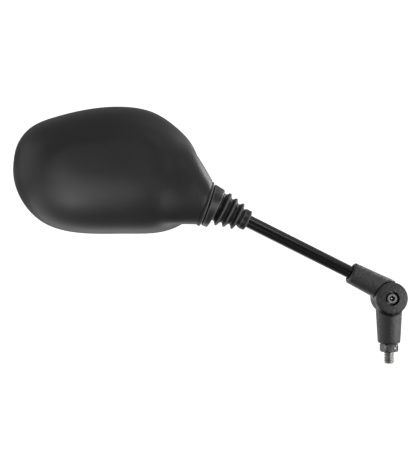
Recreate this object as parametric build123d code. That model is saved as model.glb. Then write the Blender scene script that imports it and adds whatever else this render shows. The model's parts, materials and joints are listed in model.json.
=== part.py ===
from build123d import *
from math import cos, radians, sin, tan
import os

# Right-hand motorcycle mirror on a folding elbow, in millimetres.
# The origin is on the stud's axis at the lower face of the lock nut. +Z runs up the stud,
# +X points from the head to the elbow, the glass faces +Y and the housing's back faces -Y.

# Mounting stud and lock nut (M8)
stud_radius = 4.0
stud_exposed = 9.2
stud_shank_radius = 3.75
stud_tip_chamfer = 0.9
stud_head_across_flats = 13.0
stud_head_height = 5.3
stud_head_depth = 11.0
nut_across_flats = 13.0
nut_height = 6.5
nut_bore_clearance = 0.05
nut_face_gap = 0.1
nut_turn = 30.0
nut_chamfer_angle = 30.0
nut_face_share = 0.97

# Folding elbow
pivot_height = 42.5
ear_radius = 12.8
front_ear_thickness = 11.0
rear_ear_thickness = 10.2
ear_edge_radius = 1.6
front_ear_dome = 60.0
ear_gap = 0.7
barrel_bottom_radius = 8.8
barrel_taper = 3.4
barrel_edge_radius = 2.2
sleeve_length = 36.9
sleeve_end_radius = 8.5
sleeve_taper = 2.3
sleeve_end_edge_radius = 1.8
sleeve_root_overrun = 1.5
sleeve_root_edge_radius = 5.0
sleeve_recess_gap = 1.3
sleeve_recess_depth = 4.0
friction_washer_thickness = 0.6
friction_washer_radius = 11.0

# Elbow screw (M5 socket head) with its nut and dished washer
screw_radius = 2.5
screw_length = 16.0
screw_head_radius = 4.25
screw_head_height = 5.0
screw_head_edge = 0.5
screw_head_sunk = 1.2
screw_socket_across_flats = 4.0
screw_socket_depth = 2.6
screw_running_clearance = 0.05
counterbore_radius = 5.6
spring_washer_thickness = 0.8
spring_washer_rim_clearance = 0.5
pivot_nut_across_flats = 8.0
pivot_nut_height = 4.0
pivot_nut_sunk = 0.4

# Stem with its ball
stem_radius = 5.0
stem_angle = 26.4
stem_offset = 4.3
stem_root = 17.0
stem_end_chamfer = 0.8
ball_distance = 176.0
ball_radius = 8.0

# Ball joint: two nylon cups in the housing, held by a clamp plate
cup_thickness = 2.25
cup_running_clearance = 0.05
seat_clearance = 0.1
rear_cup_from = 43.0
rear_cup_to = 78.0
front_cup_from = 95.0
front_cup_to = 150.0
seat_lip_from = 53.0
swing_angle = 22.0
clamp_face_depth = 3.3
clamp_plate_thickness = 2.0
clamp_plate_half_width = 9.2
clamp_plate_gap = 0.4
clamp_screw_spacing = 29.6
clamp_ear_radius = 3.7
clamp_screw_radius = 1.5
clamp_screw_length = 10.0
clamp_screw_head_radius = 2.8
clamp_screw_head_height = 2.2
clamp_screw_head_edge = 0.6
clamp_screw_hole_clearance = 0.15
clamp_screw_recess_length = 3.4
clamp_screw_recess_width = 0.8
clamp_screw_recess_depth = 1.2

# Head: egg-shaped rim outline as seen from the back, and the dome that rises from it to a small flat
rim_plane = 18.0
rim_outline = [
    (-294.3, 146.0), (-288.3, 120.1), (-271.8, 102.3), (-244.0, 94.0),
    (-206.0, 93.3), (-174.1, 95.9), (-155.2, 107.6), (-147.8, 134.0),
    (-155.7, 164.3), (-167.4, 176.8), (-186.3, 188.7), (-208.6, 192.6),
    (-238.0, 190.1), (-263.5, 183.6), (-280.6, 175.8), (-291.3, 161.9),
]
dome_centre = (-217.0, 153.0)
dome_flat_length = 0.42
dome_flat_height = 0.18
head_depth = 44.0
dome_power = 2.3
dome_steps = (0, 14, 28, 42, 56, 69, 80, 90)
rim_overrun = 4.0
rim_turn_in = 2.6
wall = 2.4

# Convex glass in the rim
glass_curve_radius = 1200.0
glass_centre = (-218.0, 143.0)
glass_thickness = 2.5
glass_clearance = 0.3
pad_thickness = 1.2
pad_margin = 0.6
lip_overlap = 1.2
lip_thickness = 1.4
ledge_width = 2.4
ledge_thickness = 2.5

# Neck that takes the boot, at its own angle: each oval has its depth behind the mouth and its reach
# above, below and behind the mouth's centre
neck_angle = 18.6
neck_mouth = (-144.4, -2.0, 115.9)
neck_radius = 18.0
neck_ovals = [(8.0, 24.3, 19.2, 19.2), (20.0, 34.3, 23.8, 21.2), (44.0, 42.0, 20.0, 21.4)]
neck_edge_radius = 0.9
mouth_rim = 1.5
mouth_recess_depth = 5.5

# Rubber boot: ring and groove radii from the stem end, each with its distance along the stem
boot_clearance = 0.05
boot_wall = 1.6
boot_head_wall = 3.2
boot_end = 127.3
boot_collar_radius = 8.1
boot_collar_end = 133.2
boot_folds = [
    (134.2, 7.4), (136.5, 10.7), (139.8, 8.8), (143.1, 11.8),
    (146.0, 10.0), (149.1, 13.2), (152.0, 11.5),
]
boot_head_from = 154.0
boot_head_radius = 15.7
boot_head_drop = 2.2
boot_edge_radius = 0.8
boot_plug_gap = 0.35
boot_plug_depth = 5.0

# Directions of the stem and of the neck
stem_dir = Vector(-cos(radians(stem_angle)), 0, sin(radians(stem_angle)))
stem_up = Vector(sin(radians(stem_angle)), 0, cos(radians(stem_angle)))
neck_out = Vector(cos(radians(neck_angle)), 0, -sin(radians(neck_angle)))
neck_up = Vector(sin(radians(neck_angle)), 0, cos(radians(neck_angle)))
pivot = Vector(0, 0, pivot_height)
stem_foot = pivot + stem_up * stem_offset
mouth_centre = Vector(*neck_mouth)
BASE = (Align.CENTER, Align.CENTER, Align.MIN)
TOP = (Align.CENTER, Align.CENTER, Align.MAX)
FAR = 400.0


def stem_plane(distance):
    """Plane across the stem, this far along it from the elbow, facing the head."""
    return Plane(origin=stem_foot + stem_dir * distance, x_dir=stem_up, z_dir=stem_dir)


def ball_plane(depth=0.0):
    """Plane across the stem at the ball, or this far into the head from it."""
    return stem_plane(ball_distance + depth)


def neck_plane(depth):
    """Plane across the neck, this deep behind its mouth, facing out of the mouth."""
    return Plane(origin=mouth_centre - neck_out * depth, x_dir=neck_up, z_dir=neck_out)


def round_bar(plane, radius, length):
    """Cylinder that starts on a plane and runs along its normal."""
    return plane * Cylinder(radius, length, align=BASE)


def pivot_disc(radius, start, end):
    """Disc about the elbow's axis, between two places along Y."""
    plane = Plane(origin=pivot + Vector(0, start, 0), x_dir=(1, 0, 0), z_dir=(0, 1, 0))
    return round_bar(plane, radius, end - start)


def hex_bar(plane, across_flats, length):
    """Hexagonal bar with two flats square to the plane's x direction."""
    outline = RegularPolygon(across_flats / 2, 6, major_radius=False, rotation=30)
    return extrude(plane * outline, amount=length)


def turned(plane, profile):
    """Solid turned about a plane's normal, from (radius, height) corners."""
    half = Polyline(*[(radius, 0, height) for radius, height in profile], close=True)
    return plane * revolve(make_face(half), axis=Axis.Z)


def hex_nut(plane, across_flats, height, bore):
    """Hex nut with the usual corner chamfers on both faces."""
    corner = across_flats / 2 / cos(radians(30))
    flat = across_flats / 2 * nut_face_share
    drop = (corner - flat) * tan(radians(nut_chamfer_angle))
    lower = [(0, 0), (flat, 0), (corner, drop)]
    upper = [(corner, height - drop), (flat, height), (0, height)]
    blank = turned(plane, lower + upper)
    return hex_bar(plane, across_flats, height) & blank - round_bar(plane, bore, height)


# Mounting stud, lock nut and lower half of the elbow
knuckle_bottom = nut_height + nut_face_gap
half_gap = friction_washer_thickness / 2
front_face = -half_gap - front_ear_thickness
rear_face = half_gap + rear_ear_thickness
stud_head_bottom = knuckle_bottom + stud_head_depth


def make_mount_stud():
    thread = round_bar(Plane.XY.offset(-stud_exposed), stud_radius, stud_exposed)
    thread = chamfer(thread.edges().sort_by(Axis.Z)[0], stud_tip_chamfer)
    shank = round_bar(Plane.XY, stud_shank_radius, stud_head_bottom)
    head = hex_bar(Plane.XY.offset(stud_head_bottom), stud_head_across_flats, stud_head_height)
    return thread + shank + head


def make_lock_nut():
    plane = Plane.XY.rotated((0, 0, nut_turn))
    return hex_nut(plane, nut_across_flats, nut_height, stud_radius + nut_bore_clearance)


def make_lower_knuckle(stud, counterbore_floor):
    height = pivot_height - knuckle_bottom
    top_radius = barrel_bottom_radius + height * tan(radians(barrel_taper))
    barrel = Plane.XY.offset(knuckle_bottom) * Cone(barrel_bottom_radius, top_radius, height, align=BASE)
    barrel = fillet(barrel.edges().sort_by(Axis.Z)[0], barrel_edge_radius)
    ear = pivot_disc(ear_radius, front_face, -half_gap)
    ear &= Location(pivot + Vector(0, front_face + front_ear_dome, 0)) * Sphere(front_ear_dome)
    ear = fillet(ear.edges().group_by(Axis.Y)[0], ear_edge_radius)
    body = barrel + ear
    body -= pivot_disc(ear_radius + ear_gap, -half_gap, FAR)
    body -= pivot_disc(counterbore_radius, front_face, counterbore_floor)
    body -= pivot_disc(screw_radius + screw_running_clearance, front_face, rear_face)
    return body - stud


# Upper half of the elbow and its screw
screw_head_top = front_face + screw_head_sunk
screw_head_seat = screw_head_top + screw_head_height
spring_seat = screw_head_seat + spring_washer_thickness
pivot_nut_seat = rear_face - pivot_nut_sunk - pivot_nut_height


def make_upper_knuckle(stem, nut_blank):
    length = sleeve_length + sleeve_root_overrun
    root_radius = sleeve_end_radius + length * tan(radians(sleeve_taper))
    sleeve = stem_plane(-sleeve_root_overrun) * Cone(root_radius, sleeve_end_radius, length, align=BASE)
    ends = sleeve.edges().filter_by(GeomType.CIRCLE).sort_by(Axis(stem_foot, stem_dir))
    sleeve = fillet(ends[0], sleeve_root_edge_radius)
    ends = sleeve.edges().filter_by(GeomType.CIRCLE).sort_by(Axis(stem_foot, stem_dir))
    sleeve = fillet(ends[-1], sleeve_end_edge_radius)
    ear = pivot_disc(ear_radius, half_gap, rear_face)
    ear = fillet(ear.edges().group_by(Axis.Y)[-1], ear_edge_radius)
    body = sleeve - pivot_disc(ear_radius + ear_gap, -FAR, half_gap) + ear
    recess = stem_plane(sleeve_length - sleeve_recess_depth)
    body -= round_bar(recess, stem_radius + sleeve_recess_gap, sleeve_recess_depth)
    body -= pivot_disc(screw_radius + screw_running_clearance, half_gap, rear_face)
    return body - stem - nut_blank


def make_pivot_screw():
    shank = pivot_disc(screw_radius, screw_head_seat, screw_head_seat + screw_length)
    head = pivot_disc(screw_head_radius, screw_head_top, screw_head_seat)
    head = fillet(head.edges().group_by(Axis.Y)[0], screw_head_edge)
    socket = Plane(origin=pivot + Vector(0, screw_head_top, 0), x_dir=(1, 0, 0), z_dir=(0, 1, 0))
    return shank + head - hex_bar(socket, screw_socket_across_flats, screw_socket_depth)


def make_spring_washer():
    outer = pivot_disc(counterbore_radius - spring_washer_rim_clearance, screw_head_seat, spring_seat)
    return outer - pivot_disc(screw_radius + screw_running_clearance, screw_head_seat, spring_seat)


def make_friction_washer():
    outer = pivot_disc(friction_washer_radius, -half_gap, half_gap)
    return outer - pivot_disc(screw_radius + screw_running_clearance, -half_gap, half_gap)


def pivot_nut_plane():
    return Plane(origin=pivot + Vector(0, pivot_nut_seat, 0), x_dir=(1, 0, 0), z_dir=(0, 1, 0))


def make_pivot_nut():
    return hex_nut(pivot_nut_plane(), pivot_nut_across_flats, pivot_nut_height, screw_radius)


# Stem and ball joint
seat_radius = ball_radius + cup_running_clearance + cup_thickness + seat_clearance


def make_stem():
    rod = round_bar(stem_plane(stem_root), stem_radius, ball_distance - stem_root)
    ends = rod.edges().filter_by(GeomType.CIRCLE).sort_by(Axis(stem_foot, stem_dir))
    rod = chamfer(ends[0], stem_end_chamfer)
    return rod + ball_plane() * Sphere(ball_radius)


def make_ball_cup(start, end):
    """Ring of a sphere between two angles from the side that the stem leaves on."""
    inner = ball_radius + cup_running_clearance
    outer = inner + cup_thickness

    def at(radius, angle):
        return (radius * sin(radians(angle)), 0, -radius * cos(radians(angle)))

    middle = (start + end) / 2
    section = [
        ThreePointArc(at(inner, start), at(inner, middle), at(inner, end)),
        Line(at(inner, end), at(outer, end)),
        ThreePointArc(at(outer, end), at(outer, middle), at(outer, start)),
        Line(at(outer, start), at(inner, start)),
    ]
    return ball_plane() * revolve(make_face(section), axis=Axis.Z)


def clamp_screw_planes():
    """Planes on the clamp plate's inner face, at its two screws."""
    face = ball_plane(clamp_face_depth + clamp_plate_thickness)
    return [face * Location((side * clamp_screw_spacing / 2, 0, 0)) for side in (-1, 1)]


def make_clamp_plate():
    face = ball_plane(clamp_face_depth)
    outline = SlotCenterToCenter(clamp_screw_spacing, 2 * clamp_ear_radius)
    plate = extrude(face * outline, amount=clamp_plate_thickness)
    beyond = round_bar(face, FAR, FAR)
    plate += ball_plane() * Sphere(seat_radius + clamp_plate_thickness) & beyond
    plate &= ball_plane() * Box(FAR, 2 * clamp_plate_half_width, FAR)
    plate -= ball_plane() * Sphere(seat_radius)
    plate -= round_bar(face, seat_radius * sin(radians(front_cup_to)), FAR)
    hole = clamp_screw_radius + clamp_screw_hole_clearance
    for spot in clamp_screw_planes():
        plate -= spot * Cylinder(hole, FAR)
    return plate


def make_clamp_screws():
    screws = []
    for spot in clamp_screw_planes():
        shank = spot * Cylinder(clamp_screw_radius, clamp_screw_length, align=TOP)
        head = spot * Cylinder(clamp_screw_head_radius, clamp_screw_head_height, align=BASE)
        top = head.edges().filter_by(GeomType.CIRCLE).sort_by(Axis(stem_foot, stem_dir))[-1]
        head = fillet(top, clamp_screw_head_edge)
        cross = Rectangle(clamp_screw_recess_length, clamp_screw_recess_width)
        cross += Rectangle(clamp_screw_recess_width, clamp_screw_recess_length)
        sunk = clamp_screw_head_height - clamp_screw_recess_depth
        recess = extrude(spot * Location((0, 0, sunk)) * cross, amount=clamp_screw_recess_depth)
        screws.append(shank + head - recess)
    return screws


# Head
glass_mid = Vector(glass_centre[0], rim_plane, glass_centre[1])


def rim_points(inset):
    """Outline points of the rim, moved in square to the outline."""
    loop = Spline(*[(x, z) for x, z in rim_outline], periodic=True)
    moved = []
    for x, z in rim_outline:
        along = loop.tangent_at(loop.param_at_point((x, z)))
        moved.append((x - along.Y * inset, z + along.X * inset))
    return moved


def rim_face(points, depth):
    """Face across the head, this far behind the plane of its rim."""
    at = rim_plane - depth
    return make_face(Spline(*[(x, at, z) for x, z in points], periodic=True))


def head_form(inset):
    """Solid domed form of the head, with all its skin moved in."""
    outline = rim_points(inset)
    middle_x, middle_z = dome_centre
    sections = [rim_face(rim_points(inset + rim_turn_in), -rim_overrun)]
    for step in dome_steps:
        rise = abs(sin(radians(step))) ** (2 / dome_power)
        spread = abs(cos(radians(step))) ** (2 / dome_power)
        length = dome_flat_length + (1 - dome_flat_length) * spread
        height = dome_flat_height + (1 - dome_flat_height) * spread
        ring = [(middle_x + (x - middle_x) * length, middle_z + (z - middle_z) * height) for x, z in outline]
        sections.append(rim_face(ring, rise * (head_depth - inset)))
    return loft(sections)


def glass_sphere(behind):
    """Ball whose front follows the glass, this far behind the glass's face."""
    centre = glass_mid - Vector(0, glass_curve_radius, 0)
    return Location(centre) * Sphere(glass_curve_radius - behind)


def rim_prism(inset):
    """Straight column of the rim's outline through the front of the head."""
    return extrude(rim_face(rim_points(inset), head_depth / 2), amount=head_depth, dir=(0, 1, 0))


def glass_layer(front, back):
    """Curved layer between two depths behind the glass's face."""
    return glass_sphere(front) - glass_sphere(back)


mouth_bore = neck_radius - mouth_rim
glass_inset = wall + glass_clearance
pocket_depth = glass_thickness + pad_thickness


def make_glass():
    return rim_prism(glass_inset) & glass_layer(0, glass_thickness)


def make_backing_pad():
    return rim_prism(glass_inset + pad_margin) & glass_layer(glass_thickness, pocket_depth)


def make_neck():
    """Fairing from the round mouth into the dome, with its front kept level behind the rim."""
    sections = [neck_plane(0) * Circle(neck_radius)]
    for depth, above, below, behind in neck_ovals:
        middle = Location(((above - below) / 2, (behind - neck_radius) / 2))
        oval = Ellipse((above + below) / 2, (behind + neck_radius) / 2)
        sections.append(neck_plane(depth) * middle * oval)
    return loft(sections)


def make_housing(screws):
    body = head_form(0) + make_neck()
    body &= glass_sphere(-lip_thickness)
    body = fillet(body.faces().sort_by_distance(mouth_centre)[0].outer_wire().edges(), neck_edge_radius)
    body -= rim_prism(wall) & glass_layer(0, pocket_depth)
    body -= rim_prism(glass_inset + lip_overlap) - glass_sphere(pocket_depth)
    hollow = head_form(wall) & glass_sphere(pocket_depth + ledge_thickness)
    hollow += rim_prism(wall + ledge_width) & glass_layer(glass_thickness, pocket_depth + 2 * ledge_thickness)
    body -= hollow & round_bar(ball_plane(clamp_face_depth), FAR, FAR)
    body -= round_bar(neck_plane(mouth_recess_depth), mouth_bore, FAR)
    seat_lip = seat_radius * cos(radians(seat_lip_from))
    lip_radius = seat_radius * sin(radians(seat_lip_from))
    reach = ball_distance - boot_end
    swing = lip_radius + reach * tan(radians(swing_angle))
    body -= ball_plane(-seat_lip - reach) * Cone(swing, lip_radius, reach, align=BASE)
    bowl = ball_plane() * Sphere(seat_radius) - round_bar(stem_plane(0), FAR, ball_distance - seat_lip)
    body -= bowl + round_bar(ball_plane(), seat_radius, clamp_face_depth)
    room = clamp_plate_thickness + clamp_plate_gap
    tabs = SlotCenterToCenter(clamp_screw_spacing, 2 * (clamp_ear_radius + clamp_plate_gap))
    body -= extrude(ball_plane(clamp_face_depth) * tabs, amount=room + clamp_screw_head_height)
    body -= ball_plane() * Sphere(seat_radius + room) & round_bar(ball_plane(clamp_face_depth), FAR, FAR)
    for screw in screws:
        body -= screw
    return body


# Rubber boot
boot_plug_radius = mouth_bore - boot_plug_gap


def make_boot():
    bore = stem_radius + boot_clearance
    last = boot_folds[-1][1]
    skin = [(radius, 0, distance) for distance, radius in boot_folds]
    inside = [(radius - boot_wall, 0, distance) for distance, radius in boot_folds]
    face_edge = (boot_collar_radius - boot_edge_radius, 0, boot_end)
    collar_edge = (boot_collar_radius, 0, boot_end + boot_edge_radius)
    collar_end = (boot_collar_radius, 0, boot_collar_end)
    section = [
        Line((bore, 0, boot_end), face_edge),
        Line(face_edge, collar_edge),
        Line(collar_edge, collar_end),
        Spline(collar_end, *skin),
        Line(skin[-1], (last, 0, boot_head_from)),
        Line((last, 0, boot_head_from), (last - boot_wall, 0, boot_head_from)),
        Line((last - boot_wall, 0, boot_head_from), inside[-1]),
        Spline(*inside),
        Line(inside[0], (bore, 0, boot_collar_end)),
        Line((bore, 0, boot_collar_end), (bore, 0, boot_end)),
    ]
    sleeve = stem_plane(0) * revolve(make_face(section), axis=Axis.Z)
    drop = Location((-boot_head_drop, 0, 0))
    ring = stem_plane(boot_head_from) * drop * Circle(boot_head_radius)
    collar = loft([ring, neck_plane(0) * Circle(boot_plug_radius)])
    collar = fillet(collar.faces().sort_by(Axis(stem_foot, stem_dir))[0].edges(), boot_edge_radius)
    plug_hole = boot_plug_radius - boot_wall
    ring_hole = stem_plane(boot_head_from + boot_wall) * drop * Circle(boot_head_radius - boot_head_wall)
    collar -= loft([ring_hole, neck_plane(0) * Circle(plug_hole)])
    collar -= round_bar(stem_plane(boot_head_from), last - boot_wall, boot_head_wall)
    plug = round_bar(neck_plane(boot_plug_depth), boot_plug_radius, boot_plug_depth)
    plug -= round_bar(neck_plane(boot_plug_depth), plug_hole, boot_plug_depth)
    return sleeve + collar + plug


mount_stud = make_mount_stud()
stem = make_stem()
pivot_nut = make_pivot_nut()
nut_pocket = hex_bar(pivot_nut_plane(), pivot_nut_across_flats, FAR)
clamp_screws = make_clamp_screws()
nodes = {
    "mount_stud": mount_stud,
    "lock_nut": make_lock_nut(),
    "lower_knuckle": make_lower_knuckle(mount_stud, spring_seat),
    "upper_knuckle": make_upper_knuckle(stem, nut_pocket),
    "friction_washer": make_friction_washer(),
    "disc_spring_washer": make_spring_washer(),
    "pivot_screw": make_pivot_screw(),
    "pivot_nut": pivot_nut,
    "stem": stem,
    "rear_ball_cup": make_ball_cup(rear_cup_from, rear_cup_to),
    "front_ball_cup": make_ball_cup(front_cup_from, front_cup_to),
    "ball_clamp_plate": make_clamp_plate(),
    "clamp_screws": Compound(children=clamp_screws),
    "housing": make_housing(clamp_screws),
    "mirror_glass": make_glass(),
    "glass_backing_pad": make_backing_pad(),
    "neck_boot": make_boot(),
}

os.makedirs("parts", exist_ok=True)
for name, solid in nodes.items():
    export_step(solid, f"parts/{name}.step")
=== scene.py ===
"""Looks of a motorcycle mirror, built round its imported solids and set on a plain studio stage."""

import json
import math

import bpy
from bpy.props import FloatProperty, FloatVectorProperty, IntProperty, PointerProperty
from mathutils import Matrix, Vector
from mathutils.kdtree import KDTree

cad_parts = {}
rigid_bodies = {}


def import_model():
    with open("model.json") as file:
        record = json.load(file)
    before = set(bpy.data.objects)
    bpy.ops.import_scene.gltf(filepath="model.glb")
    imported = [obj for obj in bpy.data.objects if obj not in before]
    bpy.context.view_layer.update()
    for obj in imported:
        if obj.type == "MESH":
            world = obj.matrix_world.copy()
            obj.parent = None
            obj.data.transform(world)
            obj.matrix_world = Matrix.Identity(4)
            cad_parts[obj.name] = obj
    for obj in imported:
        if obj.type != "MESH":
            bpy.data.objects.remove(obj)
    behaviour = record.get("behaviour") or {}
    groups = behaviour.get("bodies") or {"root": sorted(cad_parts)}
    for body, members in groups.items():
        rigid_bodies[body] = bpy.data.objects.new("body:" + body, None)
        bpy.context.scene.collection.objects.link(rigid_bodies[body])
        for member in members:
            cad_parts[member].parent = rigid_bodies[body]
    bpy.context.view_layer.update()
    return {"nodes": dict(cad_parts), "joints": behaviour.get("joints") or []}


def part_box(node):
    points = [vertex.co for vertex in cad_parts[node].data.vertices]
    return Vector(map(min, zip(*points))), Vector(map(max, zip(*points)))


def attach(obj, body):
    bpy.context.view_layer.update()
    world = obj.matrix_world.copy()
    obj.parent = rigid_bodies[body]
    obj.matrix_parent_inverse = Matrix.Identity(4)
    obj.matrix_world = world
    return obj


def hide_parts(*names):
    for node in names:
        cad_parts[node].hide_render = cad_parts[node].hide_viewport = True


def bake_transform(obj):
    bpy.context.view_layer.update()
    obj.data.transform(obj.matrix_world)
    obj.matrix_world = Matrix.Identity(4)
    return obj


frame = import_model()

bl_info = {
    "name": "Motorcycle mirror",
    "version": (1, 0, 0),
    "blender": (4, 5, 0),
    "location": "View3D > Sidebar > Mirror",
    "description": "Dresses the solids of a motorcycle mirror and sets its studio stage",
    "category": "Object",
}

MM = 0.001
# Points closer than this are one
MERGE = 1e-6
JOINTS = {joint["name"]: joint for joint in frame["joints"]}
BALL = Vector(JOINTS["head_roll"]["pos_m"])
STEM_DIR = Vector(JOINTS["head_roll"]["axis"]).normalized()
STEM_ANGLE = math.atan2(STEM_DIR.z, -STEM_DIR.x)
STEM_UP = Vector((STEM_DIR.z, 0.0, -STEM_DIR.x))
PIVOT = Vector(JOINTS["elbow_fold"]["pos_m"])


class MirrorSizes(bpy.types.PropertyGroup):
    """Sizes of the pieces that are modelled here."""

    ball_distance: FloatProperty(
        name="Ball distance", description="From the elbow to the ball, along the stem",
        default=0.176, unit="LENGTH")
    head_middle: FloatVectorProperty(
        name="Head middle", description="Place inside the head, behind its neck",
        default=(-0.18, 0.0, 0.13), subtype="XYZ", unit="LENGTH")
    housing_mesh: FloatProperty(
        name="Housing mesh", description="Size of the housing's faces", default=0.00085,
        unit="LENGTH")
    crease_core: FloatProperty(
        name="Crease core", description="Half width of the neck's root that is smoothed fully",
        default=0.005, unit="LENGTH")
    crease_reach: FloatProperty(
        name="Crease reach", description="Width beside it over which the smoothing fades",
        default=0.016, unit="LENGTH")
    crease_rounds: IntProperty(
        name="Crease rounds", description="How often the neck's root is smoothed", default=190,
        min=0)
    boot_wall: FloatProperty(
        name="Boot wall", description="Thickness of the rubber boot's wall", default=0.0013,
        unit="LENGTH")
    boot_split: FloatProperty(
        name="Boot split",
        description="Place of the groove between the boot's bellows and its collar, along the stem",
        default=0.152, unit="LENGTH")
    ring_segments: IntProperty(
        name="Ring segments",
        description="Faces round the boot and the neck's lip before smoothing", default=64, min=16)
    collar_drop: FloatProperty(
        name="Collar drop", description="How far the boot's collar hangs below the stem's axis",
        default=0.0026, unit="LENGTH")
    neck_angle: FloatProperty(
        name="Neck angle", description="Slope of the housing's neck", default=math.radians(18.6),
        subtype="ANGLE")
    neck_mouth: FloatVectorProperty(
        name="Neck mouth", description="Middle of the neck's mouth",
        default=(-0.1444, -0.002, 0.1159), subtype="XYZ", unit="LENGTH")
    plug_radius: FloatProperty(
        name="Plug radius", description="Radius of the boot where it goes into the neck",
        default=0.0138, unit="LENGTH")
    collar_flange: FloatProperty(
        name="Collar flange", description="Radius of the boot's edge beside the neck's mouth",
        default=0.0168, unit="LENGTH")
    nut_turn: FloatProperty(
        name="Nut turn", description="Turn of the lock nut on its thread",
        default=math.radians(-15.0), subtype="ANGLE")
    thread_pitch: FloatProperty(
        name="Thread pitch", description="Pitch of the mounting stud's thread", default=0.00125,
        unit="LENGTH")
    thread_radius: FloatProperty(
        name="Thread radius", description="Outer radius of the mounting stud's thread",
        default=0.00398, unit="LENGTH")
    thread_top: FloatProperty(
        name="Thread top", description="Height up to which the stud is threaded", default=0.0172,
        unit="LENGTH")
    stud_flats: FloatProperty(
        name="Stud flats", description="Width across flats of the stud's hidden head",
        default=0.012805, unit="LENGTH")
    thread_tip: FloatProperty(
        name="Thread tip", description="Chamfer at the tip of the stud", default=0.0009,
        unit="LENGTH")


class MirrorFinishes(bpy.types.PropertyGroup):
    """Colours of the finishes."""

    housing: FloatVectorProperty(
        name="Housing", description="Satin moulded plastic of the housing",
        default=(0.020, 0.020, 0.021), subtype="COLOR", min=0.0, max=1.0)
    elbow: FloatVectorProperty(
        name="Elbow", description="Satin moulded plastic of the elbow",
        default=(0.035, 0.035, 0.036), subtype="COLOR", min=0.0, max=1.0)
    rubber: FloatVectorProperty(
        name="Rubber", description="Rubber of the boot", default=(0.021, 0.021, 0.0215),
        subtype="COLOR", min=0.0, max=1.0)
    stem: FloatVectorProperty(
        name="Stem", description="Gloss black paint of the stem", default=(0.004, 0.004, 0.0042),
        subtype="COLOR", min=0.0, max=1.0)
    zinc: FloatVectorProperty(
        name="Zinc", description="Bright zinc plate of the screws and hidden hardware",
        default=(0.60, 0.60, 0.59), subtype="COLOR", min=0.0, max=1.0)
    stud: FloatVectorProperty(
        name="Stud", description="Dull zinc plate of the mounting stud",
        default=(0.44, 0.44, 0.435), subtype="COLOR", min=0.0, max=1.0)
    dark_zinc: FloatVectorProperty(
        name="Dark zinc", description="Dark zinc plate of the lock nut", default=(0.26, 0.26, 0.26),
        subtype="COLOR", min=0.0, max=1.0)
    nylon: FloatVectorProperty(
        name="Nylon", description="Natural nylon of the cups and washer",
        default=(0.62, 0.60, 0.53), subtype="COLOR", min=0.0, max=1.0)
    silver: FloatVectorProperty(
        name="Silver", description="Silvering of the glass", default=(0.86, 0.88, 0.89),
        subtype="COLOR", min=0.0, max=1.0)
    foam: FloatVectorProperty(
        name="Foam", description="Foam pad behind the glass", default=(0.035, 0.035, 0.036),
        subtype="COLOR", min=0.0, max=1.0)


class MirrorStage(bpy.types.PropertyGroup):
    """Camera and lights."""

    camera_place: FloatVectorProperty(
        name="Camera place", description="Where the camera stands",
        default=(-0.2097, -0.7747, 0.0937), subtype="XYZ", unit="LENGTH")
    camera_turn: FloatProperty(
        name="Camera turn", description="Turn of the camera about the vertical",
        default=math.radians(-5.0), subtype="ANGLE")
    lens: FloatProperty(
        name="Lens", description="Focal length in millimetres", default=77.25, min=10.0)
    floor_height: FloatProperty(
        name="Floor height", description="Height of the floor", default=-0.35, unit="LENGTH")
    # The floor's glow under the part, lower than the backdrop's: painted shade
    floor_glow: FloatProperty(
        name="Floor glow", description="Brightness of the floor under the part", default=0.72,
        min=0.0)
    reflector_rim: FloatProperty(
        name="Reflector rim", description="Glow of the reflector's rim", default=1.1, min=0.0)
    backdrop: FloatProperty(
        name="Backdrop", description="Brightness of the backdrop", default=1.0, min=0.0)
    room_low: FloatProperty(
        name="Room, low", description="Light of the room at eye level", default=0.1, min=0.0)
    room_high: FloatProperty(
        name="Room, high", description="Light of the room from above", default=0.32, min=0.0)
    top_box: FloatProperty(
        name="Top box", description="Power of the soft box over the stem", default=0.17, min=0.0)
    right_box: FloatProperty(
        name="Right box", description="Power of the right soft box", default=5.0, min=0.0)
    stem_box: FloatProperty(
        name="Stem box", description="Power of the soft box that looks down on the stem",
        default=0.02, min=0.0)
    flank_box: FloatProperty(
        name="Flank box", description="Power of the soft box on the head's right flank",
        default=0.06, min=0.0)
    rear_box: FloatProperty(
        name="Rear box", description="Power of the soft box at the rear right", default=4.6,
        min=0.0)
    back_box: FloatProperty(
        name="Back box", description="Power of the soft box that the glass looks at", default=2.0,
        min=0.0)
    nut_box: FloatProperty(
        name="Nut box", description="Power of the soft box behind the nut", default=0.03, min=0.0)
    left_box: FloatProperty(
        name="Left box", description="Power of the left soft box", default=2.4, min=0.0)
    front_box: FloatProperty(
        name="Front box", description="Power of the soft box low in front", default=0.27, min=0.0)
    fill_box: FloatProperty(
        name="Fill box", description="Power of the soft box above it", default=0.24, min=0.0)


def sizes():
    """Sizes of this scene's mirror."""
    return bpy.context.scene.mirror_sizes


def finishes():
    """Colours of this scene's mirror."""
    return bpy.context.scene.mirror_finishes


# Selecting and shaping

def deselect():
    """Leaves edit mode and selects nothing."""
    if bpy.context.object and bpy.context.object.mode != "OBJECT":
        bpy.ops.object.mode_set(mode="OBJECT")
    bpy.ops.object.select_all(action="DESELECT")


def pick(piece):
    """Makes this the only selected object, and the active one."""
    deselect()
    piece.select_set(True)
    bpy.context.view_layer.objects.active = piece


def name_piece(name):
    """Names the object that was just made, and its mesh."""
    piece = bpy.context.object
    piece.name = name
    piece.data.name = name
    return piece


def settle(piece, angle=40.0):
    """Puts the piece's place into its mesh and smooths what is rounder than the angle."""
    pick(piece)
    bpy.ops.object.transform_apply(location=True, rotation=True, scale=True)
    bpy.ops.object.shade_smooth_by_angle(angle=math.radians(angle))


def tidy_mesh(piece):
    """Merges doubles and turns all faces outwards."""
    pick(piece)
    bpy.ops.object.mode_set(mode="EDIT")
    bpy.ops.mesh.select_all(action="SELECT")
    bpy.ops.mesh.remove_doubles(threshold=MERGE)
    bpy.ops.mesh.normals_make_consistent(inside=False)
    bpy.ops.object.mode_set(mode="OBJECT")


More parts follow.
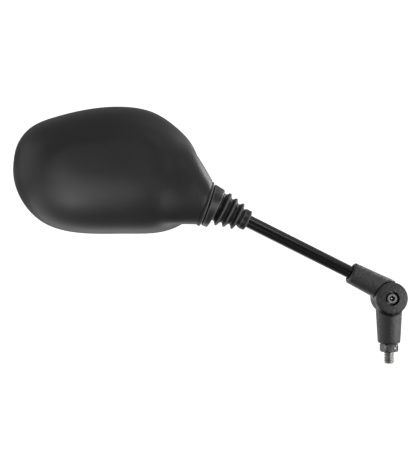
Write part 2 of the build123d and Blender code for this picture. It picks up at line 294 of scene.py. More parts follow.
def copy_solid(node_name, name):
    """Makes a piece from a merged copy of a solid's mesh."""
    pick(frame["nodes"][node_name])
    bpy.ops.object.duplicate()
    piece = name_piece(name)
    bpy.ops.object.parent_clear(type="CLEAR_KEEP_TRANSFORM")
    tidy_mesh(piece)
    return piece


def apply_modifier(piece, kind, **settings):
    """Adds a modifier with these settings and applies it."""
    bpy.context.view_layer.objects.active = piece
    bpy.ops.object.modifier_add(type=kind)
    modifier = piece.modifiers[-1]
    for key, value in settings.items():
        setattr(modifier, key, value)
    bpy.ops.object.modifier_apply(modifier=modifier.name)


def along_stem(distance):
    """Point on the stem's axis, this far from the elbow."""
    return BALL - STEM_DIR * (sizes().ball_distance - distance)


def neck_out():
    """Direction out of the neck's mouth."""
    return Vector((math.cos(sizes().neck_angle), 0.0, -math.sin(sizes().neck_angle)))


def draw_rings(name, slope, rings):
    """Closed ring drawn through (centre, radius, turn) stations by extruding the first one."""
    deselect()
    bpy.ops.mesh.primitive_circle_add(
        vertices=sizes().ring_segments, radius=rings[0][1], fill_type="NOTHING",
        location=rings[0][0], rotation=(0.0, slope - math.radians(90.0), 0.0))
    piece = name_piece(name)
    bpy.ops.object.mode_set(mode="EDIT")
    bpy.ops.mesh.select_all(action="SELECT")
    for (centre, radius, _), (next_centre, next_radius, turn) in zip(rings, rings[1:]):
        scale = next_radius / radius
        bpy.ops.mesh.extrude_region_move(TRANSFORM_OT_translate={"value": next_centre - centre})
        bpy.ops.transform.resize(value=(scale, scale, scale), center_override=next_centre)
        if turn:
            bpy.ops.transform.rotate(value=turn, orient_axis="Y", center_override=next_centre)
    bpy.ops.mesh.select_all(action="DESELECT")
    bpy.ops.mesh.select_non_manifold()
    bpy.ops.mesh.bridge_edge_loops()
    bpy.ops.object.mode_set(mode="OBJECT")
    tidy_mesh(piece)
    return piece


# Finishes

# Part of a noise's range that is used
NOISE_LOW = 0.3
NOISE_HIGH = 0.7
# Scale that leaves out the elbow's axis
ACROSS_PIVOT = (1.0, 0.0, 1.0)
# Painted shade under the elbow's disc: inner and outer radius, over what width it fades
# in from each, where it fades in below and in front of the pivot, its grey and its specular level
SHADE_RADII = (0.0108, 0.0146)
SHADE_INNER = 0.0014
SHADE_OUTER = 0.001
SHADE_BELOW = (-0.006, -0.010)
SHADE_FRONT = (-0.004, -0.007)
SHADE_LEVEL = 0.008
SHADE_SPECULAR = 0.2
# Share of the zinc's colour from the screw's axis outwards, as parts of this radius
SCREW_REACH = 0.005
# Painted highlight on the socket's floor, painted shade in the socket and round the head's edge
SCREW_LIGHT_AND_SHADE = (
    (0.0, 1.5), (0.1, 1.5), (0.16, 0.03), (0.37, 0.02), (0.44, 0.65), (0.65, 0.7), (0.73, 0.35),
    (0.79, 0.05), (1.0, 0.05),
)


def new_finish(name):
    """Material with its shader and its object coordinates."""
    material = bpy.data.materials.new(name)
    material.use_nodes = True
    nodes = material.node_tree.nodes
    shader = nodes["Principled BSDF"]
    place = nodes.new("ShaderNodeTexCoord")
    return material, nodes, material.node_tree.links, shader, place.outputs["Object"]


def ranged(nodes, links, value, start, end, low=0.0, high=1.0, kind="LINEAR"):
    """Goes from low to high while the value goes from start to end."""
    spread = nodes.new("ShaderNodeMapRange")
    spread.interpolation_type = kind
    spread.inputs["From Min"].default_value = start
    spread.inputs["From Max"].default_value = end
    spread.inputs["To Min"].default_value = low
    spread.inputs["To Max"].default_value = high
    links.new(value, spread.inputs["Value"])
    return spread.outputs["Result"]


def moved(nodes, links, place, centre, scale=(1.0, 1.0, 1.0)):
    """Coordinates about this centre."""
    move = nodes.new("ShaderNodeMapping")
    move.inputs["Location"].default_value = -Vector(centre)
    move.inputs["Scale"].default_value = scale
    links.new(place, move.inputs["Vector"])
    return move.outputs["Vector"]


def length(nodes, links, vector):
    """Length of a vector."""
    reach = nodes.new("ShaderNodeVectorMath")
    reach.operation = "LENGTH"
    links.new(vector, reach.inputs[0])
    return reach.outputs["Value"]


def overlay(nodes, links, shader, amount, level):
    """Turns the base colour to a grey of this level by the amount."""
    mix = nodes.new("ShaderNodeMix")
    mix.data_type = "RGBA"
    mix.inputs[7].default_value = (level, level, level, 1.0)
    links.new(amount, mix.inputs[0])
    links.new(shader.inputs["Base Color"].links[0].from_socket, mix.inputs[6])
    links.new(mix.outputs[2], shader.inputs["Base Color"])


def grain(nodes, links, place, shader, size, depth, detail=4.0):
    """Fine moulded or cast grain as bump."""
    noise = nodes.new("ShaderNodeTexNoise")
    noise.inputs["Scale"].default_value = 1.0 / size
    noise.inputs["Detail"].default_value = detail
    noise.inputs["Roughness"].default_value = 0.6
    bump = nodes.new("ShaderNodeBump")
    bump.inputs["Strength"].default_value = 1.0
    bump.inputs["Distance"].default_value = depth
    links.new(place, noise.inputs["Vector"])
    links.new(noise.outputs["Fac"], bump.inputs["Height"])
    links.new(bump.outputs["Normal"], shader.inputs["Normal"])


def cloudy(nodes, links, place, socket, size, low, high):
    """Slow change of one value over the surface."""
    noise = nodes.new("ShaderNodeTexNoise")
    noise.inputs["Scale"].default_value = 1.0 / size
    noise.inputs["Detail"].default_value = 5.0
    links.new(place, noise.inputs["Vector"])
    value = ranged(nodes, links, noise.outputs["Fac"], NOISE_LOW, NOISE_HIGH, low, high)
    links.new(value, socket)
    return noise


def shaded_colour(nodes, links, noise, shader, colour, low, high):
    """Base colour that wanders between a darker and a lighter shade."""
    ramp = nodes.new("ShaderNodeValToRGB")
    dark, light = ramp.color_ramp.elements
    dark.position = NOISE_LOW
    light.position = NOISE_HIGH
    dark.color = [channel * low for channel in colour] + [1.0]
    light.color = [min(1.0, channel * high) for channel in colour] + [1.0]
    links.new(noise.outputs["Fac"], ramp.inputs["Fac"])
    links.new(ramp.outputs["Color"], shader.inputs["Base Color"])


def moulded(name, colour, roughness, grain_size, grain_depth, specular=0.5, rub_and_highlight=0.0):
    """Moulded plastic or rubber with fine grain, slow changes of gloss and edges paler, as wear and
    painted highlight.
    """
    material, nodes, links, shader, place = new_finish(name)
    shader.inputs["Specular IOR Level"].default_value = specular
    gloss = shader.inputs["Roughness"]
    noise = cloudy(nodes, links, place, gloss, 0.03, roughness - 0.04, roughness + 0.04)
    shaded_colour(nodes, links, noise, shader, colour, 0.88, 1.12)
    grain(nodes, links, place, shader, grain_size, grain_depth)
    if rub_and_highlight:
        wear = nodes.new("ShaderNodeAttribute")
        wear.attribute_name = "wear"
        overlay(nodes, links, shader, wear.outputs["Fac"], rub_and_highlight)
    return material


def mark_wear_and_highlight(piece, places, width):
    """Marks the mesh near these (point, radius, axis) rings as rubbed paler and as painted
    highlight.
    """
    wear = piece.data.attributes.new("wear", "FLOAT", "POINT")
    for vertex in piece.data.vertices:
        amount = 0.0
        for centre, radius, axis in places:
            offset = vertex.co - centre
            along = offset.dot(axis)
            across = (offset - axis * along).length - radius
            amount = max(amount, 1.0 - math.hypot(along, across) / width)
        wear.data[vertex.index].value = max(0.0, amount)


def corner_painted_shade(material):
    """Painted shade: darker, duller plastic in the corner under the elbow's disc."""
    nodes = material.node_tree.nodes
    links = material.node_tree.links
    shader = nodes["Principled BSDF"]
    place = nodes["Texture Coordinate"].outputs["Object"]
    reach = length(nodes, links, moved(nodes, links, place, PIVOT, ACROSS_PIVOT))
    split = nodes.new("ShaderNodeSeparateXYZ")
    links.new(moved(nodes, links, place, PIVOT), split.inputs["Vector"])
    start, end = SHADE_RADII
    amount = ranged(nodes, links, reach, start, start + SHADE_INNER)
    limits = ((reach, end, end - SHADE_OUTER), (split.outputs["Z"], *SHADE_BELOW),
              (split.outputs["Y"], *SHADE_FRONT))
    for value, none, full in limits:
        both = nodes.new("ShaderNodeMath")
        both.operation = "MULTIPLY"
        links.new(amount, both.inputs[0])
        links.new(ranged(nodes, links, value, none, full), both.inputs[1])
        amount = both.outputs["Value"]
    overlay(nodes, links, shader, amount, SHADE_LEVEL)
    specular = shader.inputs["Specular IOR Level"]
    dull = ranged(nodes, links, amount, 0.0, 1.0, specular.default_value, SHADE_SPECULAR)
    links.new(dull, specular)


def gloss_paint(name, colour):
    """Gloss paint with a little orange peel."""
    material, nodes, links, shader, place = new_finish(name)
    shader.inputs["Specular IOR Level"].default_value = 0.1
    shader.inputs["Coat Weight"].default_value = 1.0
    shader.inputs["Coat Roughness"].default_value = 0.16
    noise = cloudy(nodes, links, place, shader.inputs["Roughness"], 0.01, 0.3, 0.4)
    shaded_colour(nodes, links, noise, shader, colour, 0.85, 1.15)
    grain(nodes, links, place, shader, 0.0022, 0.000008, detail=2.0)
    return material


def plated(name, colour, roughness):
    """Zinc plate with small changes of gloss and colour."""
    material, nodes, links, shader, place = new_finish(name)
    shader.inputs["Metallic"].default_value = 1.0
    gloss = shader.inputs["Roughness"]
    noise = cloudy(nodes, links, place, gloss, 0.0025, roughness - 0.06, roughness + 0.08)
    shaded_colour(nodes, links, noise, shader, colour, 0.82, 1.1)
    grain(nodes, links, place, shader, 0.0004, 0.000004)
    return material


def socket_screw(name, colour):
    """Zinc plated screw: painted shade round its edge and in its socket, a painted highlight at its
    middle.
    """
    material, nodes, links, shader, place = new_finish(name)
    shader.inputs["Metallic"].default_value = 1.0
    cloudy(nodes, links, place, shader.inputs["Roughness"], 0.0025, 0.24, 0.36)
    reach = length(nodes, links, moved(nodes, links, place, PIVOT, ACROSS_PIVOT))
    ramp = nodes.new("ShaderNodeValToRGB")
    stops = ramp.color_ramp.elements
    stops.remove(stops[1])
    for index, (position, share) in enumerate(SCREW_LIGHT_AND_SHADE):
        stop = stops.new(position) if index else stops[0]
        stop.position = position
        stop.color = [channel * share for channel in colour] + [1.0]
    links.new(ranged(nodes, links, reach, 0.0, SCREW_REACH), ramp.inputs["Fac"])
    links.new(ramp.outputs["Color"], shader.inputs["Base Color"])
    grain(nodes, links, place, shader, 0.0005, 0.000004)
    return material


def silvered_glass(name, colour):
    """Silvered glass under a clear coat, with a trace of film on it."""
    material, nodes, links, shader, place = new_finish(name)
    shader.inputs["Metallic"].default_value = 1.0
    shader.inputs["Coat Weight"].default_value = 0.4
    shader.inputs["Coat Roughness"].default_value = 0.01
    noise = cloudy(nodes, links, place, shader.inputs["Roughness"], 0.02, 0.005, 0.03)
    shaded_colour(nodes, links, noise, shader, colour, 0.985, 1.0)
    return material


def dress(material, *node_names):
    """Gives a finish to CAD nodes."""
    for node_name in node_names:
        mesh = frame["nodes"][node_name].data
        mesh.materials.clear()
        mesh.materials.append(material)


# Pieces

# Depth behind the neck's mouth and radius of each ring of its lip, in millimetres
MOUTH_LIP = (
    (0.3, 16.55), (0.0, 16.75), (0.0, 17.3), (0.15, 17.75), (0.6, 18.0), (1.4, 18.03), (2.5, 17.9),
    (2.5, 16.55),
)
# Ring of it that is painted paler, as wear and as a painted highlight on its rounded edge
LIP_CREST = 3
# How squarely a face looks away from the head's middle if it is outside
OUTWARD = 0.2
# The crease at the neck's root: its bend, its longest edge and how far towards the glass it goes
SEAM_BEND = (math.radians(9.5), math.radians(50.0))
SEAM_EDGE = 0.004
SEAM_END = 0.004
# Where its smoothing ends towards the glass, and over what length it fades before that
RELAX_END = 0.007
RELAX_FADE = 0.006


class MIRROR_OT_housing(bpy.types.Operator):
    """Make the housing from its solid, with its neck flowing smoothly out of its back"""

    bl_idname = "mirror.housing"
    bl_label = "Housing"

    def execute(self, context):
        shell = copy_solid("housing", "housing_shell")
        seam = self.find_seam(shell)
        apply_modifier(shell, "REMESH", mode="VOXEL", voxel_size=sizes().housing_mesh)
        self.relax(shell, seam)
        settle(shell, 30.0)
        plastic = moulded("housing_plastic", finishes().housing, 0.42, 0.0005, 0.00001, rub_and_highlight=0.2)
        shell.data.materials.clear()
        shell.data.materials.append(plastic)
        dress(plastic, "housing")
        lip = self.make_lip()
        lip.data.materials.append(plastic)
        for piece in (shell, lip):
            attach(piece, "head")
            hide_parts("housing")
        return {"FINISHED"}

    def make_lip(self):
        """Rounded edge of the neck's mouth."""
        mouth = Vector(sizes().neck_mouth)
        stations = [
            (mouth - neck_out() * depth * MM, radius * MM, 0.0) for depth, radius in MOUTH_LIP]
        lip = draw_rings("neck_lip", sizes().neck_angle, stations)
        apply_modifier(lip, "SUBSURF", levels=1, render_levels=1)
        settle(lip, 60.0)
        # Its crest is painted paler, as wear and as a painted highlight
        mark_wear_and_highlight(lip, [stations[LIP_CREST][:2] + (neck_out(),)], 0.0009)
        return lip

    def outside(self, place, normal):
        """Whether a face at this place looks out of the head."""
        return (place - Vector(sizes().head_middle)).normalized().dot(normal) > OUTWARD

    def find_seam(self, shell):
        """Points of the hollow crease between the dome and the neck."""
        faces = {}
        for polygon in shell.data.polygons:
            for key in polygon.edge_keys:
                faces.setdefault(key, []).append(polygon)
        points = []
        for key, (one, two) in faces.items():
            ends = [shell.data.vertices[index].co for index in key]
            middle = (ends[0] + ends[1]) / 2
            hollow = (two.center - one.center).dot(one.normal) > 0.0
            bent = SEAM_BEND[0] < one.normal.angle(two.normal) < SEAM_BEND[1]
            short = (ends[1] - ends[0]).length < SEAM_EDGE
            outside = self.outside(middle, one.normal + two.normal)
            if hollow and bent and short and outside and middle.y < SEAM_END:
                points.append(middle)
        seam = KDTree(len(points))
        for index, point in enumerate(points):
            seam.insert(point, index)
        seam.balance()
        return seam

    def relax(self, shell, seam):
        """Smooths the crease away, and less so farther from it."""
        s = sizes()
        group = shell.vertex_groups.new(name="crease")
        for vertex in shell.data.vertices:
            near = 1.0 - (seam.find(vertex.co)[2] - s.crease_core) / s.crease_reach
            behind = (RELAX_END - vertex.co.y) / RELAX_FADE
            weight = max(0.0, min(1.0, near)) * max(0.0, min(1.0, behind))
            if weight > 0.0 and self.outside(vertex.co, vertex.normal):
                group.add([vertex.index], weight * weight * (3.0 - 2.0 * weight), "REPLACE")
        rounds = s.crease_rounds
        apply_modifier(shell, "SMOOTH", factor=0.5, iterations=rounds, vertex_group="crease")
        apply_modifier(shell, "SMOOTH", factor=0.5, iterations=2)
        shell.vertex_groups.clear()


class MIRROR_OT_glass(bpy.types.Operator):
    """Finish the convex glass and its pad"""

    bl_idname = "mirror.glass"
    bl_label = "Glass"

    def execute(self, context):
        dress(silvered_glass("mirror_silver", finishes().silver), "mirror_glass")
        foam = moulded("pad_foam", finishes().foam, 0.85, 0.0012, 0.00015, specular=0.2)
        dress(foam, "glass_backing_pad")
        return {"FINISHED"}


class MIRROR_OT_stem(bpy.types.Operator):
    """Finish the painted stem"""

    bl_idname = "mirror.stem"
    bl_label = "Stem"

    def execute(self, context):
        dress(gloss_paint("stem_paint", finishes().stem), "stem")
        return {"FINISHED"}


class MIRROR_OT_elbow(bpy.types.Operator):
    """Finish both halves of the elbow"""

    bl_idname = "mirror.elbow"
    bl_label = "Elbow"

    def execute(self, context):
        plastic = moulded("elbow_plastic", finishes().elbow, 0.35, 0.0022, 0.0007, specular=0.85)
        # Painted shade in the corner under the disc: darker, duller plastic
        corner_painted_shade(plastic)
        dress(plastic, "upper_knuckle", "lower_knuckle")
        return {"FINISHED"}


class MIRROR_OT_hardware(bpy.types.Operator):
    """Finish the nuts, screws, washers and the ball joint's pieces"""

    bl_idname = "mirror.hardware"
    bl_label = "Hardware"

    def execute(self, context):
        self.turn_nut(plated("nut_zinc", finishes().dark_zinc, 0.22))
        dress(socket_screw("screw_zinc", finishes().zinc), "pivot_screw")
        dress(plated("hidden_zinc", finishes().zinc, 0.32),
              "pivot_nut", "disc_spring_washer", "ball_clamp_plate", "clamp_screws")
        dress(moulded("cup_nylon", finishes().nylon, 0.45, 0.0008, 0.00001),
              "rear_ball_cup", "front_ball_cup", "friction_washer")
        return {"FINISHED"}

    def turn_nut(self, zinc):
        """Turns a copy of the lock nut on its thread, so that a flat looks at the camera."""
        dress(zinc, "lock_nut")
        nut = copy_solid("lock_nut", "lock_nut_turned")
        nut.rotation_euler.z = sizes().nut_turn
        settle(nut, 30.0)
        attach(nut, "nut")
        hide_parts("lock_nut")


# Distance from the elbow and radius of each ring of the bellows, in millimetres
BELLOWS = (
    (127.3, 5.08), (127.3, 7.4), (127.7, 7.9), (128.3, 8.1), (132.4, 8.1), (133.1, 7.8),
    (133.5, 7.1), (134.3, 6.9), (135.0, 8.4), (135.6, 10.5), (136.1, 10.8), (137.2, 10.75),
    (137.7, 10.0), (138.7, 8.9), (139.8, 8.6), (140.7, 9.1), (142.0, 11.6), (142.5, 11.95),
    (143.7, 11.9), (144.2, 11.2), (145.1, 10.1), (146.0, 9.85), (146.9, 10.5), (148.0, 13.0),
    (148.5, 13.35), (149.7, 13.3), (150.2, 12.6), (151.0, 11.6), (152.0, 11.3),
)
# The sleeve on the stem ends at this distance, and its bore at this one with this radius
SLEEVE_END = 134.0
SLEEVE_BORE = (133.2, 5.08)
# Rings wider than this radius, in millimetres, sag by this share of the difference
SAG_RADIUS = 8.4
SAG_SHARE = 0.12
# Edges of the bellows that are painted paler, as wear and as a painted highlight on the crests
CRESTS = ((128.0, 8.0), (132.7, 8.0), (136.6, 10.75), (143.1, 11.9), (149.1, 13.3))
# Collar stations painted paler, as wear and painted highlight: its shoulder and its flange's edge
COLLAR_SHOULDER = 4
COLLAR_FLANGE = 7


class MIRROR_OT_boot(bpy.types.Operator):
    """Model the rubber boot: bellows on the stem and the collar in the neck"""

    bl_idname = "mirror.boot"
    bl_label = "Boot"

    def execute(self, context):
        s = sizes()
        # The crests and collar edges are painted paler, as wear and as a painted highlight
        rubber = moulded("boot_rubber", finishes().rubber, 0.33, 0.0007, 0.00001, rub_and_highlight=0.15)
        wall = s.boot_wall / MM
        inside = [(distance, radius - wall) for distance, radius in reversed(BELLOWS)
                  if distance > SLEEVE_END]
        path = [self.hang(*ring) + (0.0,) for ring in (*BELLOWS, *inside, SLEEVE_BORE)]
        bellows = draw_rings("boot_bellows", STEM_ANGLE, path)
        crests = [self.hang(*ring) + (STEM_DIR,) for ring in CRESTS]
        self.finish(bellows, rubber, crests)
        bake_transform(bellows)

        stations = self.collar_rings(s)
        collar = draw_rings("boot_collar", STEM_ANGLE, stations)
        edges = [stations[COLLAR_SHOULDER][:2] + (STEM_DIR,),
                 stations[COLLAR_FLANGE][:2] + (neck_out(),)]
        self.finish(collar, rubber, edges)
        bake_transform(collar)
        return {"FINISHED"}

    def hang(self, distance, radius):
        """Middle and radius of a ring of the bellows, which hangs down the more the wider it is."""
        sag = max(0.0, (radius - SAG_RADIUS) * SAG_SHARE)
        return along_stem(distance * MM) - STEM_UP * sag * MM, (radius + sag) * MM

    def collar_rings(self, s):
        """Stations of the collar, from the last groove round its flange, into the neck and back."""
        lean = STEM_ANGLE - s.neck_angle
        out = neck_out()
        mouth = Vector(s.neck_mouth)
        drop = -STEM_UP * s.collar_drop
        wall = s.boot_wall
        flange = s.collar_flange
        start, last = self.hang(*BELLOWS[-1])
        return [
            (start, last, 0.0),
            (start + STEM_DIR * 0.0012, last, 0.0),
            (start + STEM_DIR * 0.0016, last + 0.0006, 0.0),
            (along_stem(0.1539) + drop, 0.0151, 0.0),
            (along_stem(0.1541) + drop, 0.0158, 0.0),
            (along_stem(0.1548) + drop, 0.0162, 0.0),
            (mouth + out * 0.0021, flange - 0.0001, lean),
            (mouth + out * 0.0014, flange, 0.0),
            (mouth + out * 0.0009, flange - 0.0003, 0.0),
            (mouth + out * 0.0008, s.plug_radius + 0.0003, 0.0),
            (mouth + out * 0.0004, s.plug_radius, 0.0),
            (mouth - out * 0.0046, s.plug_radius, 0.0),
            (mouth - out * 0.0050, s.plug_radius - 0.0004, 0.0),
            (mouth - out * 0.0050, s.plug_radius - wall, 0.0),
            (mouth - out * 0.0001, s.plug_radius - wall, 0.0),
            (along_stem(0.1562) + drop * 0.6, 0.0132, -lean),
            (along_stem(0.1550) + drop * 0.3, last - 0.0006, 0.0),
            (start, last - wall, 0.0),
        ]

    def finish(self, piece, rubber, edges):
        """Rounds a piece of the boot and gives it its rubber."""
        apply_modifier(piece, "SUBSURF", levels=2, render_levels=2)
        settle(piece, 60.0)
        mark_wear_and_highlight(piece, edges, 0.001)
        piece.data.materials.append(rubber)
        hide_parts("neck_boot")


# Depth of a metric thread as a share of its pitch, and faces round one turn of it
THREAD_DEPTH = 0.6134
THREAD_STEPS = 48
# Pitches that the thread starts below the stud, and turns that it has to spare
THREAD_START = 1.5
THREAD_SPARE = 3
# Room round the thread in the blank that cuts it to length
BLANK_ROOM = 0.0002
# How much shorter and higher the stud's hidden head is than its room, and its rounded edge
HEAD_SHORT = 0.0006
HEAD_LIFT = 0.0002
HEAD_EDGE = 0.0003


class MIRROR_OT_stud(bpy.types.Operator):
    """Model the mounting stud with its thread"""

    bl_idname = "mirror.stud"
    bl_label = "Stud"

    def execute(self, context):
        s = sizes()
        low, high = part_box("mount_stud")
        thread = self.wind_thread(low.z, s)
        blank = self.make_blank(low.z, s)
        pick(thread)
        apply_modifier(thread, "BOOLEAN", operation="INTERSECT", object=blank, solver="EXACT")
        bpy.data.objects.remove(blank)
        self.add_head(thread, high.z, s)
        tidy_mesh(thread)
        settle(thread, 30.0)
        thread.data.materials.append(plated("stud_zinc", finishes().stud, 0.38))
        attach(thread, "base")
        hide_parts("mount_stud")
        return {"FINISHED"}

    def wind_thread(self, bottom, s):
        """Long thread, wound from the profile of one tooth and closed at both ends."""
        pitch = s.thread_pitch
        root = s.thread_radius - THREAD_DEPTH * pitch
        turns = math.ceil((s.thread_top - bottom) / pitch) + THREAD_SPARE
        profile = ((root, 0.0), (root, pitch * 0.25), (s.thread_radius, pitch * 0.5),
                   (s.thread_radius, pitch * 0.75), (root, pitch))
        deselect()
        bpy.ops.mesh.primitive_circle_add(
            vertices=3, radius=0.0001, fill_type="NOTHING",
            location=(root, 0.0, bottom - THREAD_START * pitch))
        thread = name_piece("mount_stud_thread")
        bpy.ops.object.mode_set(mode="EDIT")
        bpy.ops.mesh.select_all(action="SELECT")
        bpy.ops.mesh.merge(type="CENTER")
        for (radius, height), (next_radius, next_height) in zip(profile, profile[1:]):
            step = (next_radius - radius, 0.0, next_height - height)
            bpy.ops.mesh.extrude_region_move(TRANSFORM_OT_translate={"value": step})
        bpy.ops.object.mode_set(mode="OBJECT")
        bpy.ops.object.transform_apply(location=True, rotation=True, scale=True)
        apply_modifier(
            thread, "SCREW", axis="Z", angle=math.tau, screw_offset=pitch, iterations=turns,
            steps=THREAD_STEPS, render_steps=THREAD_STEPS, use_merge_vertices=True,
            merge_threshold=MERGE)
        tidy_mesh(thread)
        bpy.ops.object.mode_set(mode="EDIT")
        bpy.ops.mesh.select_all(action="DESELECT")
        bpy.ops.mesh.select_non_manifold()
        bpy.ops.mesh.edge_face_add()
        tidy_mesh(thread)
        return thread

    def make_blank(self, bottom, s):
        """Cylinder with a chamfered tip, to which the thread is cut."""
        deselect()
        bpy.ops.mesh.primitive_cylinder_add(
            vertices=96, radius=s.thread_radius + BLANK_ROOM, depth=s.thread_top - bottom,
            location=(0.0, 0.0, (s.thread_top + bottom) / 2))
        blank = name_piece("stud_blank")
        bpy.ops.object.mode_set(mode="EDIT")
        bpy.ops.mesh.select_all(action="DESELECT")
        bpy.ops.object.mode_set(mode="OBJECT")
        for edge in blank.data.edges:
            ends = [blank.data.vertices[index].co.z for index in edge.vertices]
            edge.select = max(ends) < 0.0
        bpy.ops.object.mode_set(mode="EDIT")
        bpy.ops.mesh.select_mode(type="EDGE")
        bpy.ops.mesh.bevel(offset=s.thread_tip + BLANK_ROOM, segments=1)
        bpy.ops.object.mode_set(mode="OBJECT")
        bpy.ops.object.transform_apply(location=True, rotation=True, scale=True)
        return blank

    def add_head(self, thread, top, s):
        """Joins on the hex head that is moulded into the lower knuckle."""
        deselect()
        bpy.ops.mesh.primitive_cylinder_add(
            vertices=6, radius=s.stud_flats / 2 / math.cos(math.radians(30.0)),
            depth=top - s.thread_top - HEAD_SHORT,
            location=(0.0, 0.0, (top + s.thread_top) / 2 + HEAD_LIFT))
        head = name_piece("stud_head")
        bpy.ops.object.mode_set(mode="EDIT")
        bpy.ops.mesh.select_all(action="SELECT")
        bpy.ops.mesh.bevel(offset=HEAD_EDGE, segments=2)
        bpy.ops.object.mode_set(mode="OBJECT")
        thread.select_set(True)
        head.select_set(True)
        bpy.context.view_layer.objects.active = thread
        bpy.ops.object.join()


# Stage

# Where the stage's boards have their middle, where their glow has it, and their radius
STAGE_X = -0.15
GLOW_MIDDLE = (-0.1, -0.3, -0.35)
BOARD_RADIUS = 1.0
# Widening and rise of each step of the backdrop's bowl
BOWL_STEPS = ((1.8, 0.0), (1.15, 0.12), (1.05, 0.3), (1.0, 2.5))
# Each soft box with its place, what it looks at, its width and height, and the angle of its beam
BOXES = (
    ("top", (0.5, -0.1, 1.1), (0.05, 0.0, 0.05), 1.1, 1.3, 50.0),
    ("right", (0.78, -0.45, -0.09), (0.0, 0.0, 0.0), 1.4, 0.48, 180.0),
    ("stem", (0.25, -0.6, 0.65), (-0.05, 0.0, 0.07), 0.25, 0.3, 25.0),
    ("flank", (0.5, 0.32, 0.48), (-0.15, 0.0, 0.17), 0.3, 0.3, 25.0),
    ("rear", (0.76, 0.73, 0.32), (-0.1, 0.0, 0.1), 0.7, 0.8, 180.0),
    ("back", (-0.25, 1.5, 0.15), (-0.2, 0.0, 0.1), 1.2, 0.8, 180.0),
    ("nut", (-0.5, 0.5, 0.02), (0.0, 0.0, 0.0), 0.3, 0.3, 20.0),
    ("left", (-1.3, -0.1, 0.25), (-0.25, 0.0, 0.14), 1.3, 0.9, 180.0),
    ("front", (-0.555, -0.29, -0.19), (-0.555, 0.0, 0.12), 0.5, 0.14, 50.0),
    ("fill", (-0.47, -0.56, -0.1), (-0.45, 0.0, 0.13), 0.5, 0.44, 60.0),
)


def soft_box(name, place, target, width, height, beam, power):
    """Area light that looks at a point, with its beam held to this angle."""
    deselect()
    bpy.ops.object.light_add(type="AREA", location=place)
    lamp = bpy.context.object
    lamp.name = name
    lamp.data.shape = "RECTANGLE"
    lamp.data.size = width
    lamp.data.size_y = height
    lamp.data.energy = power
    lamp.data.spread = math.radians(beam)
    lamp.rotation_euler = (Vector(target) - Vector(place)).to_track_quat("-Z", "Y").to_euler()
    lamp.visible_camera = False


def pale(name, level, inner, outer, start, end):
    """Plain pale paint of the stage, whose glow changes from the middle outwards."""
    material, nodes, links, shader, place = new_finish(name)
    noise = cloudy(nodes, links, place, shader.inputs["Roughness"], 0.8, 0.7, 0.8)
    shaded_colour(nodes, links, noise, shader, (level, level, level), 0.99, 1.0)
    shader.inputs["Emission Color"].default_value = (1.0, 1.0, 1.0, 1.0)
    reach = length(nodes, links, moved(nodes, links, place, GLOW_MIDDLE))
    glow = ranged(nodes, links, reach, start, end, inner, outer, "SMOOTHSTEP")
    links.new(glow, shader.inputs["Emission Strength"])
    return material


def make_disc(name, height, paint):
    """Round board that lies under the part."""
    deselect()
    bpy.ops.mesh.primitive_circle_add(
        vertices=96, radius=BOARD_RADIUS, fill_type="NGON", location=(STAGE_X, 0.0, height))
    disc = name_piece(name)
    settle(disc)
    disc.data.materials.append(paint)
    return disc


def make_floor(st):
    """Pale floor that the camera sees, its glow weaker towards the middle near the part as painted
    shade.
    """
    paint = pale("floor_paint", 0.6, st.floor_glow, st.backdrop, 0.2, 0.95)
    floor = make_disc("floor", st.floor_height, paint)
    floor.visible_diffuse = False
    floor.visible_glossy = False
    floor.visible_shadow = False
    return floor


def make_reflector(st):
    """Board below the floor that throws light back, and glows from its rim as painted light."""
    paint = pale("reflector_paint", 0.3, 0.0, st.reflector_rim, 0.45, 0.8)
    reflector = make_disc("reflector", st.floor_height - 0.001, paint)
    reflector.visible_camera = False
    return reflector


def make_backdrop(st):
    """Bowl round the floor, which only the camera sees."""
    deselect()
    bpy.ops.mesh.primitive_circle_add(
        vertices=96, radius=BOARD_RADIUS - 0.01, fill_type="NOTHING",
        location=(STAGE_X, 0.0, st.floor_height))
    bowl = name_piece("backdrop")
    bpy.ops.object.mode_set(mode="EDIT")
    bpy.ops.mesh.select_all(action="SELECT")
    for scale, rise in BOWL_STEPS:
        bpy.ops.mesh.extrude_region_move(TRANSFORM_OT_translate={"value": (0.0, 0.0, rise)})
        bpy.ops.transform.resize(value=(scale, scale, 1.0), center_override=(STAGE_X, 0.0, 0.0))
    bpy.ops.object.mode_set(mode="OBJECT")
    settle(bowl, 60.0)
    bowl.data.materials.append(pale("backdrop_paint", 0.6, st.backdrop, st.backdrop, 0.4, 1.0))
    bowl.visible_diffuse = False
    bowl.visible_glossy = False
    return bowl


def make_room(st):
    """Room that is brighter overhead than at eye level."""
    world = bpy.data.worlds.new("room")
    world.use_nodes = True
    nodes = world.node_tree.nodes
    links = world.node_tree.links
    place = nodes.new("ShaderNodeTexCoord")
    split = nodes.new("ShaderNodeSeparateXYZ")
    links.new(place.outputs["Generated"], split.inputs["Vector"])
    height = split.outputs["Z"]
    level = ranged(nodes, links, height, 0.1, 0.55, st.room_low, st.room_high, "SMOOTHSTEP")
    links.new(level, nodes["Background"].inputs["Strength"])
    nodes["Background"].inputs["Color"].default_value = (1.0, 1.0, 1.0, 1.0)
    return world


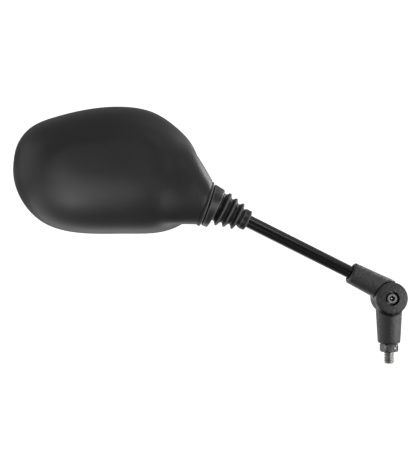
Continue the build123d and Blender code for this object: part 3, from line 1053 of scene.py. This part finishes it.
class MIRROR_OT_stage(bpy.types.Operator):
    """Set the floor, backdrop, lights and camera"""

    bl_idname = "mirror.stage"
    bl_label = "Stage"

    def execute(self, context):
        st = context.scene.mirror_stage
        make_floor(st)
        make_reflector(st)
        make_backdrop(st)
        context.scene.world = make_room(st)
        for side, place, target, width, height, beam in BOXES:
            soft_box("box_" + side, place, target, width, height, beam, getattr(st, side + "_box"))

        deselect()
        bpy.ops.object.camera_add(
            location=st.camera_place, rotation=(math.radians(90.0), 0.0, st.camera_turn))
        camera = bpy.context.object
        camera.name = "camera"
        camera.data.sensor_width = 36.0
        camera.data.lens = st.lens
        context.scene.camera = camera
        context.scene.view_settings.view_transform = "Standard"
        return {"FINISHED"}


OPERATORS = (
    MIRROR_OT_housing, MIRROR_OT_glass, MIRROR_OT_stem, MIRROR_OT_elbow, MIRROR_OT_hardware,
    MIRROR_OT_boot, MIRROR_OT_stud, MIRROR_OT_stage,
)


class MIRROR_PT_panel(bpy.types.Panel):
    """Lists the operators of the mirror"""

    bl_idname = "MIRROR_PT_panel"
    bl_label = "Motorcycle mirror"
    bl_space_type = "VIEW_3D"
    bl_region_type = "UI"
    bl_category = "Mirror"

    def draw(self, context):
        for operator in OPERATORS:
            self.layout.operator(operator.bl_idname)
        scene = context.scene
        for group in (scene.mirror_sizes, scene.mirror_finishes, scene.mirror_stage):
            box = self.layout.box()
            for key in group.__annotations__:
                box.prop(group, key)


CLASSES = (MirrorSizes, MirrorFinishes, MirrorStage) + OPERATORS + (MIRROR_PT_panel,)


def register():
    """Registers the classes and puts the settings on the scene."""
    for cls in CLASSES:
        bpy.utils.register_class(cls)
    bpy.types.Scene.mirror_sizes = PointerProperty(type=MirrorSizes)
    bpy.types.Scene.mirror_finishes = PointerProperty(type=MirrorFinishes)
    bpy.types.Scene.mirror_stage = PointerProperty(type=MirrorStage)


def unregister():
    """Takes the settings and the classes away again."""
    del bpy.types.Scene.mirror_stage
    del bpy.types.Scene.mirror_finishes
    del bpy.types.Scene.mirror_sizes
    for cls in reversed(CLASSES):
        bpy.utils.unregister_class(cls)


def main():
    """Dresses the mirror and sets its stage."""
    register()
    bpy.ops.mirror.housing()
    bpy.ops.mirror.glass()
    bpy.ops.mirror.stem()
    bpy.ops.mirror.elbow()
    bpy.ops.mirror.hardware()
    bpy.ops.mirror.boot()
    bpy.ops.mirror.stud()
    bpy.ops.mirror.stage()


if __name__ == "__main__":
    main()
